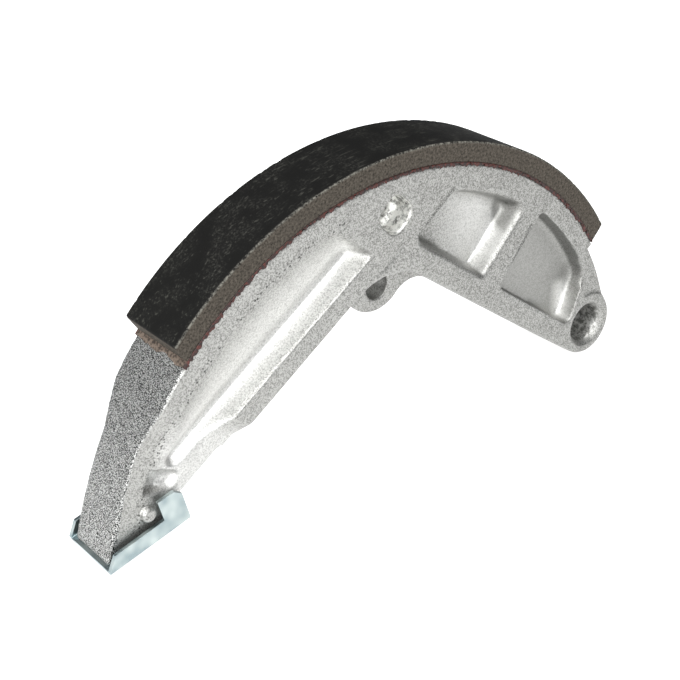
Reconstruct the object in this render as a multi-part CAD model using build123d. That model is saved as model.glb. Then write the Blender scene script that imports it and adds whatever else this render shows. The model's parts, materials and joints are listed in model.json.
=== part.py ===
"""Brake shoe of a small drum brake.

A cast light-alloy shoe with a bonded lining, a pivot bore at one end and a folded steel clip
on the cam pad at the other. It stands like an arch, on the heel of the clip and the pivot boss.

The side view is (x, z) from the drum's axis, with x along the chord towards the pivot. The
drum's axis is Y, and the shoe is alike on both sides of y = 0. Angles are in degrees. Sizes
named rim or inset are measured inwards from the platform, the arc that carries the lining. A
straight side of an outline is given by its direction and by the angle at which it would cross
the platform, or by a wall's thickness from a side beside it.
"""
from build123d import *
import math
import os

# Lining and its adhesive
LINING_RADIUS = 68.0
LINING_THICKNESS = 4.1
SHOE_WIDTH = 15.2
LINING_PIVOT_ANGLE = 32.3
LINING_CAM_ANGLE = 137.5
LINING_LEAN_ANGLE = 0.9
LINING_EDGE_ROUND = 0.5
BOND_THICKNESS = 0.15
BOND_OVERRUN_ANGLE = 2.0
RIM_OVERRUN_ANGLE = 0.4

# Casting: platform, arms and elbow
CAM_ARM_STRAIGHT_ANGLE = 150.0
CAM_ARM_RADIUS = 93.0
PIVOT_ARM_DROP = 1.15
PIVOT_ARM_LOWER_ANGLE = -36.7
CAM_ARM_INNER_ANGLE = 33.65
CAM_ARM_DEPTH = 23.15
ELBOW_ROUND = 13.5
EDGE_ROUND = 0.8
WEB_THICKNESS = 5.8

# Pivot boss and bore
BOSS_INSET = 7.28
BOSS_AT_ANGLE = 14.775
BOSS_RADIUS = 7.05
BORE_RADIUS = 4.0
BORE_CHAMFER = 1.25
RIM_STEP = 0.45

# Cam pad, and the narrower end of the arm around it
PAD_ANGLE = 14.1
PAD_AT_ANGLE = 172.08
PAD_LENGTH = 15.8
HEEL_ROUND = 1.9
CAM_END_WIDTH = 10.7
RAMP_START_ANGLE = -29.9
RAMP_START_AT_ANGLE = 144.93
RAMP_END_ANGLE = -14.4
RAMP_END_AT_ANGLE = 153.01

# Clip
SHEET = 0.8
CLIP_SEAT_GAP = 0.1
CLIP_WIDTH = 14.0
CLIP_LENGTH = 17.3
CLIP_OVERHANG = 0.5
CLIP_BEND = 0.9
FLANGE_HEIGHT = 3.5
FLANGE_HEEL_SETBACK = 2.0
TAB_HEIGHT = 7.8
TAB_WIDTH = 4.8
TAB_CHAMFER = 1.3

# Spring lug, placed from the elbow's corner
LUG_OFFSET = -0.05
LUG_DROP = 5.1
LUG_RADIUS = 7.25
LUG_ROUND = 6.2
EYE_OFFSET = 0.25
EYE_DROP = 7.3
EYE_RADIUS = 2.6

# Cored hole in the web
CORE_INSET = 7.44
CORE_AT_ANGLE = 91.02
CORE_SIZE = 6.8
CORE_CORNER = 2.2
CORE_BORE_RADIUS = 2.4

TOUCH = 1e-4

# Bays beside the boss arm's middle rib, and the channel of the cam arm
HUB_BAY_SILL = 5.07
HUB_BAY_PIVOT_ANGLE = 47.2
HUB_BAY_PIVOT_AT_ANGLE = 55.04
HUB_BAY_CAM_ANGLE = 216.5
HUB_BAY_CAM_AT_ANGLE = 72.42
HUB_BAY_RIM = 5.45
HUB_BAY_ROUNDS = (0.9, 1.0, 1.5, 2.2)
HUB_BAY_DEPTH = 4.7
HUB_BAY_DRAFT_ANGLE = 11.3
HUB_BAY_LIP = 1.2
BOSS_BAY_SILL = 4.77
BOSS_BAY_PIVOT_ANGLE = 67.7
BOSS_BAY_BORE_WALL = 2.45
BOSS_BAY_CAM_ANGLE = 229.3
BOSS_BAY_CAM_AT_ANGLE = 50.38
BOSS_BAY_RIM = 4.45
BOSS_BAY_ROUNDS = (1.5, 1.5, 3.0, 1.0)
BOSS_BAY_DEPTH = 4.0
BOSS_BAY_DRAFT_ANGLE = 4.0
CHANNEL_RIM = 4.25
CHANNEL_SILL = 4.7
CHANNEL_WALL_RUN = 1.4
CHANNEL_FLOOR = 0.6
CHANNEL_LIP = 0.5
CHANNEL_END_RUN = 1.5
CHANNEL_UPPER_END_ANGLE = 140.5
CHANNEL_UPPER_END_AT_ANGLE = 107.63
CHANNEL_LOWER_END_ANGLE = -27.4
CHANNEL_LOWER_END_AT_ANGLE = 156.29
CUT_MARGIN = 2.0

# Shallow step of the hub
HUB_STEP_INSET = 8.89
HUB_STEP_AT_ANGLE = 97.44
HUB_STEP_FALL_ANGLE = -43.0
HUB_STEP_RADIUS = 9.0
HUB_STEP_RUN = 3.0
HUB_STEP_DEPTH = 0.45

# Hollow below the channel and round pip beside the clip's tab, placed from the pad's heel
HOLLOW_CORNERS = ((9.9, 15.5), (8.1, 11.0), (14.3, 9.9), (16.2, 12.6))
HOLLOW_DEPTH = 2.05
HOLLOW_WALL_RUN = 0.5
PIP_OFFSET = 8.65
PIP_RISE = 7.25
PIP_RADIUS = 1.55
PIP_HEIGHT = 1.2
PIP_CHAMFER = 0.5


def polar(radius, angle):
    """Point of the side view at an angle round the drum's axis."""
    return Vector(radius * math.cos(math.radians(angle)), radius * math.sin(math.radians(angle)))


class Side:
    """A straight side that runs in a direction, with the outline's inside on its left."""

    def __init__(self, angle, offset):
        self.angle = angle
        self.along = polar(1, angle)
        self.inward = polar(1, angle + 90)
        self.offset = offset

    def moved(self, distance):
        return Side(self.angle, self.offset + distance)

    def meet(self, other):
        """Corner of two sides."""
        level = self.inward.dot(other.inward) * self.offset
        run = (other.offset - level) / self.along.dot(other.inward)
        return self.inward * self.offset + self.along * run

    def reach(self, radius, sign, centre=Vector(0, 0)):
        """Where the side meets a circle, ahead (1) of the circle's centre or behind it (-1)."""
        gap = self.offset - self.inward.dot(centre)
        run = self.along.dot(centre) + sign * math.sqrt(radius ** 2 - gap ** 2)
        return self.inward * self.offset + self.along * run


def side_plane(height):
    """Side view's plane at a height in front of the mid-plane."""
    return Plane.XZ.offset(height)


def arc(radius, start, end, centre=Vector(0, 0)):
    """Arc between two points of a circle."""
    middle = ((start + end) * 0.5 - centre).normalized() * radius + centre
    return ThreePointArc(start, middle, end)


def rounded(outline, corner, radius):
    """The outline with one of its corners rounded."""
    vertex = outline.vertices().sort_by_distance(corner)[0]
    return fillet(vertex, radius)


def sector(inner, outer, start, end, lean=0.0):
    """Piece of a ring round the drum's axis; its outer arc is shorter by the lean at each end."""
    corners = [
        polar(inner, start),
        polar(outer, start + lean),
        polar(outer, end - lean),
        polar(inner, end),
    ]
    edges = [
        Line(corners[0], corners[1]),
        arc(outer, corners[1], corners[2]),
        Line(corners[2], corners[3]),
        arc(inner, corners[3], corners[0]),
    ]
    return make_face(edges)


def both_sides(solid):
    """A cutter of the front side, and its mirror image at the back."""
    return [solid, mirror(solid, about=Plane.XZ)]


PLATFORM_RADIUS = LINING_RADIUS - LINING_THICKNESS - BOND_THICKNESS
HALF_WIDTH = SHOE_WIDTH / 2
HALF_WEB = WEB_THICKNESS / 2
HALF_CAM_END = CAM_END_WIDTH / 2
PIVOT_ARM_RADIUS = PLATFORM_RADIUS - PIVOT_ARM_DROP
CREASE_RADIUS = PLATFORM_RADIUS - CHANNEL_RIM
BOSS_BAY_RADIUS = PLATFORM_RADIUS - BOSS_BAY_RIM
RIM_END_ANGLE = LINING_PIVOT_ANGLE - RIM_OVERRUN_ANGLE


def crossing(angle, at_angle):
    """Side of a direction that crosses the platform at an angle round the drum's axis."""
    return Side(angle, polar(1, angle + 90).dot(polar(PLATFORM_RADIUS, at_angle)))


BOSS = polar(PLATFORM_RADIUS - BOSS_INSET, BOSS_AT_ANGLE)
PIVOT_ARM_INWARD = polar(1, PIVOT_ARM_LOWER_ANGLE + 90)
PIVOT_ARM_LOWER = Side(PIVOT_ARM_LOWER_ANGLE, BOSS.dot(PIVOT_ARM_INWARD) - BOSS_RADIUS)
CAM_ARM_INNER = Side(CAM_ARM_INNER_ANGLE, PLATFORM_RADIUS - CAM_ARM_DEPTH)
CAM_ARM_CENTRE = polar(PLATFORM_RADIUS - CAM_ARM_RADIUS, CAM_ARM_STRAIGHT_ANGLE)
ELBOW = CAM_ARM_INNER.meet(PIVOT_ARM_LOWER)
PAD = crossing(PAD_ANGLE, PAD_AT_ANGLE)
HEEL = PAD.reach(CAM_ARM_RADIUS, -1, CAM_ARM_CENTRE)
HEEL_ALONG = PAD.along.dot(HEEL)
TOE = Side(PAD_ANGLE + 90, -HEEL_ALONG - PAD_LENGTH)
CORE = polar(PLATFORM_RADIUS - CORE_INSET, CORE_AT_ANGLE)
EYE = ELBOW + Vector(EYE_OFFSET, -EYE_DROP)


def casting_profile():
    """Full side view of the casting, with its elbow and heel rounded."""
    straightens = polar(PLATFORM_RADIUS, CAM_ARM_STRAIGHT_ANGLE)
    toe = PAD.meet(TOE)
    toe_top = TOE.meet(CAM_ARM_INNER)
    boss_tangent = BOSS - PIVOT_ARM_INWARD * BOSS_RADIUS
    boss_side = BOSS.normalized() * PIVOT_ARM_RADIUS
    arm_end = polar(PIVOT_ARM_RADIUS, RIM_END_ANGLE)
    rim_end = polar(PLATFORM_RADIUS, RIM_END_ANGLE)
    outline = make_face([
        Line(HEEL, toe),
        Line(toe, toe_top),
        Line(toe_top, ELBOW),
        Line(ELBOW, boss_tangent),
        Line(boss_tangent, BOSS),
        Line(BOSS, boss_side),
        arc(PIVOT_ARM_RADIUS, boss_side, arm_end),
        Line(arm_end, rim_end),
        arc(PLATFORM_RADIUS, rim_end, straightens),
        arc(CAM_ARM_RADIUS, straightens, HEEL, CAM_ARM_CENTRE),
    ])
    outline = rounded(outline, ELBOW, ELBOW_ROUND)
    outline = rounded(outline, HEEL, HEEL_ROUND)
    return outline + Location(BOSS) * Circle(BOSS_RADIUS)


def cam_end_cutters():
    """What narrows the cam end on each side, with a ramp across the arm."""
    ramp_start = crossing(RAMP_START_ANGLE, RAMP_START_AT_ANGLE)
    ramp_end = crossing(RAMP_END_ANGLE, RAMP_END_AT_ANGLE)
    sections = []
    for edge, height in ((ramp_end, HALF_CAM_END), (ramp_start, HALF_WIDTH)):
        inner = edge.inward * edge.offset
        outer = inner - edge.along * 2 * CAM_ARM_RADIUS
        drop = edge.inward * CAM_ARM_RADIUS
        outline = Polyline(inner, outer, outer - drop, inner - drop, close=True)
        sections.append(side_plane(height) * make_face(outline))
    return both_sides(loft(sections, ruled=True))


def bay_section(sides, radius, rounds, shrink, height):
    """Outline of a bay, drawn in by a distance: three straight sides under a round one."""
    lower, pivot_side, cam_side = [side.moved(shrink) for side in sides]
    radius = radius - shrink
    corners = [
        cam_side.meet(lower),
        lower.meet(pivot_side),
        pivot_side.reach(radius, 1),
        cam_side.reach(radius, -1),
    ]
    outline = make_face([
        Line(corners[0], corners[1]),
        Line(corners[1], corners[2]),
        arc(radius, corners[2], corners[3]),
        Line(corners[3], corners[0]),
    ])
    for corner, size in zip(corners, rounds):
        outline = rounded(outline, corner, size)
    return side_plane(height) * outline


def bay(sides, radius, rounds, depth, draft_angle):
    """Cutter of a bay with drafted walls."""
    draft = math.tan(math.radians(draft_angle))
    sections = []
    for level in (depth, -CUT_MARGIN):
        sections.append(bay_section(sides, radius, rounds, draft * level, HALF_WIDTH - level))
    return loft(sections, ruled=True)


def hub_bay():
    """Cutter of the bay beside the hub."""
    sides = (
        PIVOT_ARM_LOWER.moved(HUB_BAY_SILL),
        crossing(HUB_BAY_PIVOT_ANGLE, HUB_BAY_PIVOT_AT_ANGLE),
        crossing(HUB_BAY_CAM_ANGLE, HUB_BAY_CAM_AT_ANGLE),
    )
    radius = PLATFORM_RADIUS - HUB_BAY_RIM
    return bay(sides, radius, HUB_BAY_ROUNDS, HUB_BAY_DEPTH, HUB_BAY_DRAFT_ANGLE)


def boss_bay():
    """Cutter of the bay beside the boss."""
    through_boss = Side(BOSS_BAY_PIVOT_ANGLE, polar(1, BOSS_BAY_PIVOT_ANGLE + 90).dot(BOSS))
    sides = (
        PIVOT_ARM_LOWER.moved(BOSS_BAY_SILL),
        through_boss.moved(BORE_RADIUS + BOSS_BAY_BORE_WALL),
        crossing(BOSS_BAY_CAM_ANGLE, BOSS_BAY_CAM_AT_ANGLE),
    )
    return bay(sides, BOSS_BAY_RADIUS, BOSS_BAY_ROUNDS, BOSS_BAY_DEPTH, BOSS_BAY_DRAFT_ANGLE)


def channel():
    """Cutter of the cam arm's channel: a gentle slope from the rim down to a steep lower wall."""
    depth = HALF_WIDTH - HALF_WEB
    sections = []
    for level in (depth, 0):
        sunk = level / depth
        lower = CAM_ARM_INNER.moved(CHANNEL_SILL + CHANNEL_WALL_RUN * sunk)
        upper_end = crossing(CHANNEL_UPPER_END_ANGLE, CHANNEL_UPPER_END_AT_ANGLE)
        upper_end = upper_end.moved(CHANNEL_END_RUN * sunk)
        lower_end = crossing(CHANNEL_LOWER_END_ANGLE, CHANNEL_LOWER_END_AT_ANGLE)
        lower_end = lower_end.moved(CHANNEL_END_RUN * sunk)
        foot = lower.moved(CHANNEL_FLOOR)
        corners = [lower_end.meet(lower), lower.meet(upper_end)]
        if sunk:
            corners += [upper_end.meet(foot), foot.meet(lower_end)]
            outer = Line(corners[2], corners[3])
        else:
            corners += [upper_end.reach(CREASE_RADIUS, 1), lower_end.reach(CREASE_RADIUS, -1)]
            outer = arc(CREASE_RADIUS, corners[2], corners[3])
        outline = make_face([
            Line(corners[0], corners[1]),
            Line(corners[1], corners[2]),
            outer,
            Line(corners[3], corners[0]),
        ])
        sections.append(side_plane(HALF_WIDTH - level) * outline)
    return loft(sections, ruled=True)


def lug():
    """Plate of the web's thickness under the elbow, with round corners where it leaves the arms."""
    centre = ELBOW + Vector(LUG_OFFSET, -LUG_DROP)
    spread = 3 * LUG_RADIUS
    root = Polyline(
        ELBOW,
        ELBOW - CAM_ARM_INNER.along * spread,
        ELBOW + Vector(0, LUG_RADIUS),
        ELBOW + PIVOT_ARM_LOWER.along * spread,
        close=True,
    )
    outline = make_face(root) + Location(centre) * Circle(LUG_RADIUS)
    outline = rounded(outline, CAM_ARM_INNER.reach(LUG_RADIUS, -1, centre), LUG_ROUND)
    outline = rounded(outline, PIVOT_ARM_LOWER.reach(LUG_RADIUS, 1, centre), LUG_ROUND)
    return extrude(Plane.XZ * outline, HALF_WEB, both=True)


def cylinder(centre, radius, half_length):
    """Cylinder across the shoe, the same length on both sides of the mid-plane."""
    return extrude(Plane.XZ * (Location(centre) * Circle(radius)), half_length, both=True)


def rim_step():
    """Cutter of the boss arm's face, a little lower than the rim and the boss."""
    outline = sector(BOSS_BAY_RADIUS - CUT_MARGIN, PLATFORM_RADIUS + CUT_MARGIN, 0, RIM_END_ANGLE)
    outline = outline - Location(BOSS) * Circle(BOSS_RADIUS)
    return extrude(side_plane(HALF_WIDTH - RIM_STEP) * outline, RIM_STEP + CUT_MARGIN)


def cored_hole():
    """Cutter of the square cored hole in the face, down to the web."""
    outline = Location(CORE) * RectangleRounded(CORE_SIZE, CORE_SIZE, CORE_CORNER, 45)
    return extrude(side_plane(HALF_WEB) * outline, HALF_WIDTH - HALF_WEB + CUT_MARGIN)


def hub_step():
    """Cutter of the hub's shallow step: a facet that falls away to a round edge."""
    centre = polar(PLATFORM_RADIUS - HUB_STEP_INSET, HUB_STEP_AT_ANGLE)
    fall = polar(1, HUB_STEP_FALL_ANGLE)
    starts = centre + fall * (HUB_STEP_RADIUS - HUB_STEP_RUN)
    disc = side_plane(HALF_WIDTH - HUB_STEP_DEPTH) * (Location(centre) * Circle(HUB_STEP_RADIUS))
    disc = extrude(disc, HUB_STEP_DEPTH + CUT_MARGIN)
    slope = HUB_STEP_DEPTH / HUB_STEP_RUN
    out = Vector(fall.X * slope, -1, fall.Y * slope)
    facet = Plane(origin=(starts.X, -HALF_WIDTH, starts.Y), z_dir=out)
    return split(disc, bisect_by=facet, keep=Keep.TOP)


def hollow():
    """Cutter of the small hollow in the narrowed end, below the channel."""
    mouth = make_face(Polyline(*[HEEL + Vector(*corner) for corner in HOLLOW_CORNERS], close=True))
    floor = offset(mouth, -HOLLOW_WALL_RUN, kind=Kind.INTERSECTION)
    sections = [side_plane(HALF_CAM_END - HOLLOW_DEPTH) * floor, side_plane(HALF_CAM_END) * mouth]
    above = extrude(sections[1], CUT_MARGIN)
    return loft(sections, ruled=True) + above


def pips():
    """The round pips on both sides of the cam end."""
    bar = cylinder(HEEL + Vector(PIP_OFFSET, PIP_RISE), PIP_RADIUS, HALF_CAM_END + PIP_HEIGHT)
    return chamfer(bar.edges().filter_by(GeomType.CIRCLE), PIP_CHAMFER)


def face_edges(body, cutters):
    """The edges that a pair of cutters leaves in the two side faces of the body."""
    in_face = body.edges().filter_by(lambda edge: abs(abs((edge @ 0.5).Y) - HALF_WIDTH) < TOUCH)
    return in_face.filter_by(lambda edge: min(part.distance_to(edge @ 0.5) for part in cutters) < TOUCH)


def under_arms(edge):
    """Whether an edge of the side faces runs along the arms' inner sides, the elbow or the boss."""
    middle = edge @ 0.5
    place = Vector(middle.X, middle.Z)
    in_face = abs(abs(middle.Y) - HALF_WIDTH) < TOUCH
    inner = place.length < PIVOT_ARM_RADIUS - TOUCH and place.dot(TOE.inward) < TOE.offset - TOUCH
    return in_face and (inner or abs((place - BOSS).length - BOSS_RADIUS) < TOUCH)


def is_bore_mouth(edge):
    """Whether an edge is one of the two rims of the pivot bore."""
    centre = edge.arc_center if edge.geom_type == GeomType.CIRCLE else Vector(0, 0, 0)
    at_boss = (Vector(centre.X, centre.Z) - BOSS).length < TOUCH
    return at_boss and abs(edge.radius - BORE_RADIUS) < TOUCH


def shoe_casting():
    """The cast shoe."""
    body = extrude(Plane.XZ * casting_profile(), HALF_WIDTH, both=True)
    body = fillet(body.edges().filter_by(under_arms), EDGE_ROUND)
    body = body - cam_end_cutters() - both_sides(rim_step())
    for cutter, lip in ((hub_bay(), HUB_BAY_LIP), (channel(), CHANNEL_LIP)):
        cutters = both_sides(cutter)
        body = body - cutters
        body = fillet(face_edges(body, cutters), lip)
    body = body - both_sides(boss_bay()) - both_sides(cored_hole()) + lug()
    body = body - both_sides(hub_step()) - both_sides(hollow()) + pips()
    body = body - cylinder(BOSS, BORE_RADIUS, SHOE_WIDTH)
    body = chamfer(body.edges().filter_by(is_bore_mouth), BORE_CHAMFER)
    body = body - cylinder(EYE, EYE_RADIUS, SHOE_WIDTH)
    body = body - cylinder(CORE, CORE_BORE_RADIUS, SHOE_WIDTH)
    return body


def friction_lining():
    """The moulded lining, with its leaning ends."""
    outline = sector(
        PLATFORM_RADIUS + BOND_THICKNESS,
        LINING_RADIUS,
        LINING_PIVOT_ANGLE,
        LINING_CAM_ANGLE,
        LINING_LEAN_ANGLE,
    )
    for end in (LINING_PIVOT_ANGLE + LINING_LEAN_ANGLE, LINING_CAM_ANGLE - LINING_LEAN_ANGLE):
        outline = rounded(outline, polar(LINING_RADIUS, end), LINING_EDGE_ROUND)
    return extrude(Plane.XZ * outline, HALF_WIDTH, both=True)


def bond_film():
    """The adhesive between the platform and the lining, squeezed out a little at the cam end."""
    outline = sector(
        PLATFORM_RADIUS,
        PLATFORM_RADIUS + BOND_THICKNESS,
        LINING_PIVOT_ANGLE,
        LINING_CAM_ANGLE + BOND_OVERRUN_ANGLE,
    )
    return extrude(Plane.XZ * outline, HALF_WIDTH, both=True)


def cam_clip():
    """The folded sheet on the cam pad: a floor with two low flanges and two tabs at the toe."""
    along = Vector(PAD.along.X, 0, PAD.along.Y)
    normal = Vector(PAD.inward.X, 0, PAD.inward.Y)
    underside = PAD.offset - CLIP_SEAT_GAP - SHEET
    origin = along * (HEEL_ALONG - CLIP_OVERHANG) + normal * underside
    frame = Plane(origin=origin, x_dir=along, z_dir=normal)
    low = (Align.MIN, Align.CENTER, Align.MIN)
    outer = Box(CLIP_LENGTH, CLIP_WIDTH, FLANGE_HEIGHT, align=low)
    heel_top = outer.edges().filter_by(Axis.Y).group_by(Axis.Z)[-1].sort_by(Axis.X)[0]
    outer = chamfer(heel_top, FLANGE_HEIGHT - CLIP_BEND, FLANGE_HEEL_SETBACK)
    inner_width = CLIP_WIDTH - 2 * SHEET
    inner = Location((0, 0, SHEET)) * Box(CLIP_LENGTH, inner_width, TAB_HEIGHT, align=low)
    tabs = Location((CLIP_LENGTH - TAB_WIDTH, 0, 0)) * Box(TAB_WIDTH, CLIP_WIDTH, TAB_HEIGHT, align=low)
    top_corners = tabs.edges().filter_by(Axis.Y).group_by(Axis.Z)[-1]
    tabs = chamfer(top_corners.sort_by(Axis.X)[-1], TAB_CHAMFER)
    folded = outer + tabs
    bends = folded.edges().filter_by(Axis.X).group_by(Axis.Z)[0]
    folded = fillet(bends, CLIP_BEND)
    inner = fillet(inner.edges().filter_by(Axis.X).group_by(Axis.Z)[0], CLIP_BEND - SHEET)
    return frame * (folded - inner)


def main():
    pieces = {
        "shoe_casting": shoe_casting(),
        "friction_lining": friction_lining(),
        "bond_film": bond_film(),
        "cam_clip": cam_clip(),
    }
    bounds = Compound([piece for piece in pieces.values()]).bounding_box()
    to_base = Location((-bounds.center().X, 0, -bounds.min.Z))
    os.makedirs("parts", exist_ok=True)
    for name, piece in pieces.items():
        export_step(to_base * piece, f"parts/{name}.step")


main()
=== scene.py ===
"""Looks of a drum brake shoe: a blasted alloy casting, its bonded friction lining and a steel clip.

Sizes are in metres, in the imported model's frame. Angles run round the drum's axis in the side
view, from the pivot's side. The drum's axis lies under the shoe, set out from the pivot bore.
"""

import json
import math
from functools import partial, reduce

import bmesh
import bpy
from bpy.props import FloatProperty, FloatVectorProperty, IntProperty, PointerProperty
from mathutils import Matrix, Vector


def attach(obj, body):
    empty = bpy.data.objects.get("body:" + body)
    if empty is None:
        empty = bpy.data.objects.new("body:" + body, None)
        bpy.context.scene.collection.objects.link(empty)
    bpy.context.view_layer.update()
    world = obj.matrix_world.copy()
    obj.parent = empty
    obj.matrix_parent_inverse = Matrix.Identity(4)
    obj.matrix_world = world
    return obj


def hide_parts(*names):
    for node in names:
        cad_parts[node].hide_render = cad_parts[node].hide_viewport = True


bl_info = {
    "name": "Brake Shoe",
    "version": (1, 0, 0),
    "blender": (4, 5, 0),
    "location": "View3D > Sidebar > Brake Shoe",
    "description": "Builds the skins, materials and studio of a drum brake shoe",
    "category": "Object",
}

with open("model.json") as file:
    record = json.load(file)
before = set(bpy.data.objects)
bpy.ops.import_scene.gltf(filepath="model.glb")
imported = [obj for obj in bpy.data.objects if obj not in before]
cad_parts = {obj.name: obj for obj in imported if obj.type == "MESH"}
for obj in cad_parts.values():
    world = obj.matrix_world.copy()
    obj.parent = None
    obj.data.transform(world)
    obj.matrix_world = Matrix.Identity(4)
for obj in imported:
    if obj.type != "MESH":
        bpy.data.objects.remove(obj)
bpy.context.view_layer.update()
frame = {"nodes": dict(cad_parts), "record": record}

MM = 0.001
MOUNTS = {mount["name"]: Vector(mount["pos_m"]) for mount in frame["record"]["mounts"]}
PIVOT_RADIUS = 56.47 * MM
PIVOT_ANGLE = math.radians(14.775)
PIVOT_DIRECTION = Vector((math.cos(PIVOT_ANGLE), 0, math.sin(PIVOT_ANGLE)))
DRUM_AXIS = MOUNTS["pivot_bore"] - PIVOT_DIRECTION * PIVOT_RADIUS
LINING_RADIUS = 68.0 * MM
LINING_THICKNESS = 4.1 * MM
LINING_PIVOT_END = math.radians(32.3)
LINING_CAM_END = math.radians(137.5)
PLATFORM_RADIUS = 63.75 * MM
SHOE_WIDTH = 15.2 * MM

# the round of the casting's heel: its centre, which way the platform and the pad face beside it,
# which way its middle faces, and the cosine of half its sweep
HEEL_CENTRE = (-60.28 * MM, 0.0, 3.66 * MM)
HEEL_SIDES = ((-0.960, 0.0, 0.281), (0.244, 0.0, -0.970))
HEEL_MIDDLE = (-0.721, 0.0, -0.693)
HEEL_SWEEP = 0.497

# the feet of the recesses are smoothed, by a share that rises from 0 at the first limit to 1
# at the second
SMOOTHING_ROUNDS = 36
RECESS_DEPTH = (7.5 * MM, 6.0 * MM)
RECESS_INNER_RADIUS = (45.5 * MM, 46.5 * MM)
RECESS_OUTER_RADIUS = (61.5 * MM, 60.5 * MM)
RECESS_X = (-51.5 * MM, -50.0 * MM)

# the blanks of the lining and the adhesive: how many cells they have, how much the lining's
# ends lean, how large their chips are, and how much of the bead lies below the lining
LINING_GRID = (310, 40, 12)
ADHESIVE_GRID = (420, 36, 6)
LINING_LEAN = 0.017
LINING_CHIP_SIZE = 1.1 * MM
ADHESIVE_CHIP_SIZE = 0.7 * MM
ADHESIVE_EDGE = 0.12 * MM
BEAD_BELOW_LINING = 0.75

# a chip bites where the noise is over a level, by its gain times what is over, and it reaches
# in from an edge by so many times the edge's rounding
CHIP_LEVEL = 0.575
CHIP_GAIN = 6.0
CHIP_REACH = 2.2

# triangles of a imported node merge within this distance, faces flatter than the first angle
# become one, and edges sharper than the second are rounded
MERGE_DISTANCE = 0.002 * MM
FLAT_ANGLE = math.radians(1)
SHARP_ANGLE = math.radians(40)

# the camera's place and axes, and where the key light comes from and how broad it is
CAMERA_PLACE = Vector((-152.00, -177.18, 150.88)) * MM
CAMERA_RIGHT = Vector((0.76906, -0.63910, -0.01012))
CAMERA_UP = Vector((0.31851, 0.36946, 0.87296))
KEY_DIRECTION = Vector((-0.54, -0.4, 0.74))
KEY_ANGLE = math.radians(75)

# from here on in millimetres, as the patterns of the materials are: sizes and places
PLATFORM_RADIUS_MM = PLATFORM_RADIUS / MM
LINING_RADIUS_MM = LINING_RADIUS / MM
HALF_WIDTH_MM = SHOE_WIDTH / MM / 2
CORE_CENTRE, CORE_RADIUS = (0.81, 0.0, 48.95), 5.9
BORE_CENTRE, BORE_RADIUS = (56.41, 0.0, 7.05), 4.4
BAY_EDGES = (((6.22, 43.02), (14.67, 49.96)), ((29.38, 25.68), (36.57, 35.93)))

# where the shot came in at a slant, and where the walls get painted highlight and painted shade:
# a share rises from 0 at the first limit to 1 at the second
DEEP = (7.3, 6.6)
SLANT_X = (12.0, 31.0)
HIGHLIGHT_DEPTH = (7.3, 3.9)
HIGHLIGHT_INNER_RADIUS = (41.5, 43.0)
HIGHLIGHT_OUTER_RADIUS = (60.5, 59.5)
HIGHLIGHT_CAM_END_X = (-53.0, -50.0)
HIGHLIGHT_PIVOT_END_X = (53.0, 51.5)
CHANNEL_END_X = (8.5, 7.0)
HUB_WALL_START_X = (13.0, 29.0)
HUB_WALL_END_X = (30.5, 29.5)
HUB_WALL_RADIUS = (58.0, 55.0)
BOSS_WALL_X = (48.0, 50.5)
BOSS_WALL_Z = (19.0, 17.0)
HUB_SHADE_X = (15.0, 20.0)
HUB_SHADE_RADIUS = (54.5, 57.5)
BOSS_SHADE_X = (39.0, 41.0)
BOSS_SHADE_Z = (15.5, 19.0)
SHADE_RADIUS = (61.8, 61.3)
SHADE_DEPTH = (3.5, 4.5)

# the strip of gas pits along the channel's crease
CREASE_INNER_RADIUS = (58.0, 59.5)
CREASE_OUTER_RADIUS = (61.1, 59.8)
CREASE_X = (-8.0, -12.0)


def srgb(code):
    """Linear colour of an sRGB hex value."""
    parts = [int(code[place:place + 2], 16) / 255 for place in (1, 3, 5)]
    linear = [
        part / 12.92 if part <= 0.04045 else ((part + 0.055) / 1.055) ** 2.4 for part in parts]
    return (*linear, 1.0)


MATH, VECTOR, RANGE = "ShaderNodeMath", "ShaderNodeVectorMath", "ShaderNodeMapRange"
MIX, BUMP, RAMP = "ShaderNodeMix", "ShaderNodeBump", "ShaderNodeValToRGB"
NOISE, CELLS = "ShaderNodeTexNoise", "ShaderNodeTexVoronoi"
SPLIT, JOIN = "ShaderNodeSeparateXYZ", "ShaderNodeCombineXYZ"
PLACE, MOVE = "GeometryNodeInputPosition", "GeometryNodeSetPosition"


def feed(node, inputs):
    """Sets a node's inputs, by name or in order, to values or to other nodes' outputs."""
    for key, value in inputs.items() if isinstance(inputs, dict) else enumerate(inputs):
        if isinstance(value, bpy.types.NodeSocket):
            node.id_data.links.new(value, node.inputs[key])
        else:
            node.inputs[key].default_value = value


def add_node(tree, kind, inputs=(), out=0, stops=(), **settings):
    """Adds a node with its settings, colour stops and links, and gives one of its outputs."""
    node = tree.nodes.new(kind)
    for name, value in settings.items():
        setattr(node, name, value)
    for at, colour in stops[2:]:
        node.color_ramp.elements.new(at)
    for point, (at, colour) in zip(node.color_ramp.elements if stops else (), stops):
        point.position, point.color = at, colour
    feed(node, inputs)
    return node.outputs[out] if node.outputs else None


# Settings that a user would change


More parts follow.
